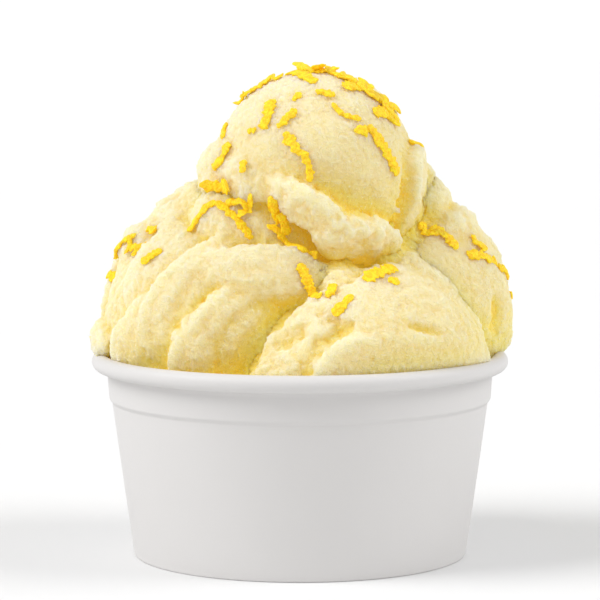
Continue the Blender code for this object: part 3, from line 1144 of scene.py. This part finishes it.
def make_light(settings):
    """A white sky, and a soft light from each side."""
    scene = bpy.context.scene
    scene.world = scene.world or bpy.data.worlds.new("sky")
    scene.world.use_nodes = True
    sky = scene.world.node_tree.nodes["Background"]
    sky.inputs["Color"].default_value = (1, 1, 1, 1)
    sky.inputs["Strength"].default_value = settings.sky
    for name, way in LAMPS.items():
        sun = bpy.data.lights.new(name, "SUN")
        sun.energy = getattr(settings, name)
        sun.angle = LAMP_SOFTNESS
        put(name, sun).rotation_euler = Vector(way).to_track_quat("-Z", "Y").to_euler()


def make_camera(settings):
    """A long lens at the front, a little above the heap, looking slightly down."""
    lens = bpy.data.cameras.new("camera")
    lens.lens = settings.lens
    lens.clip_end = 4 * FLOOR_REACH
    camera = put("camera", lens)
    camera.location = (0, -settings.distance, settings.height)
    camera.rotation_euler = (math.pi / 2 - settings.tilt, 0, 0)
    bpy.context.scene.camera = camera


# --- Operators, panel and registration ---


class SORBETCUP_OT_cup(bpy.types.Operator):
    """Make the paper wall and finish the bottom"""

    bl_idname = "sorbetcup.cup"
    bl_label = "Paper cup"

    def execute(self, context):
        settings = context.scene.sorbetcup_cup
        make_wall(settings, paper_finish(settings))
        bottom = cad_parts["cup_bottom"]
        bottom.material_slots[0].material = paper_finish(settings, "paper_bottom")
        return {"FINISHED"}


class SORBETCUP_OT_scoops(bpy.types.Operator):
    """Sculpt the scoops of sorbet"""

    bl_idname = "sorbetcup.scoops"
    bl_label = "Scoops"

    def execute(self, context):
        settings = context.scene.sorbetcup_sorbet
        material = sorbet_finish(settings)
        sculpture = Sculpture(settings)
        for name, shapes in SCOOPS.items():
            sculpture.add(name, shapes, in_cup=name != "top")
        sculpture.press()
        for name in SCOOPS:
            sculpture.make(name, material)
        return {"FINISHED"}


class SORBETCUP_OT_zest(bpy.types.Operator):
    """Strew strips of lemon zest over the scoops"""

    bl_idname = "sorbetcup.zest"
    bl_label = "Lemon zest"

    def execute(self, context):
        settings = context.scene.sorbetcup_zest
        make_zest(settings, heap_tree(), zest_finish(settings))
        return {"FINISHED"}


class SORBETCUP_OT_stage(bpy.types.Operator):
    """Lay the floor, and set up the light and the camera"""

    bl_idname = "sorbetcup.stage"
    bl_label = "Stage"

    def execute(self, context):
        settings = context.scene.sorbetcup_stage
        make_floor(settings)
        make_light(settings)
        make_camera(settings)
        context.scene.view_settings.view_transform = "Standard"
        return {"FINISHED"}


SETTINGS = {
    "sorbetcup_cup": CupSettings,
    "sorbetcup_sorbet": SorbetSettings,
    "sorbetcup_zest": ZestSettings,
    "sorbetcup_stage": StageSettings,
}
OPERATORS = (SORBETCUP_OT_cup, SORBETCUP_OT_scoops, SORBETCUP_OT_zest, SORBETCUP_OT_stage)


class SORBETCUP_PT_panel(bpy.types.Panel):
    """Everything that makes the cup of sorbet"""

    bl_label = "Lemon sorbet cup"
    bl_space_type = "VIEW_3D"
    bl_region_type = "UI"
    bl_category = "Sorbet cup"

    def draw(self, context):
        for (key, group), operator in zip(SETTINGS.items(), OPERATORS):
            box = self.layout.box()
            for name in group.__annotations__:
                box.prop(getattr(context.scene, key), name)
            box.operator(operator.bl_idname)


CLASSES = (*SETTINGS.values(), *OPERATORS, SORBETCUP_PT_panel)


def register():
    for cls in CLASSES:
        bpy.utils.register_class(cls)
    for key, group in SETTINGS.items():
        setattr(bpy.types.Scene, key, PointerProperty(type=group))


def unregister():
    for key in SETTINGS:
        delattr(bpy.types.Scene, key)
    for cls in reversed(CLASSES):
        bpy.utils.unregister_class(cls)


def main():
    """Make every piece and the stage."""
    register()
    bpy.ops.sorbetcup.cup()
    bpy.ops.sorbetcup.scoops()
    bpy.ops.sorbetcup.zest()
    bpy.ops.sorbetcup.stage()


if __name__ == "__main__":
    main()
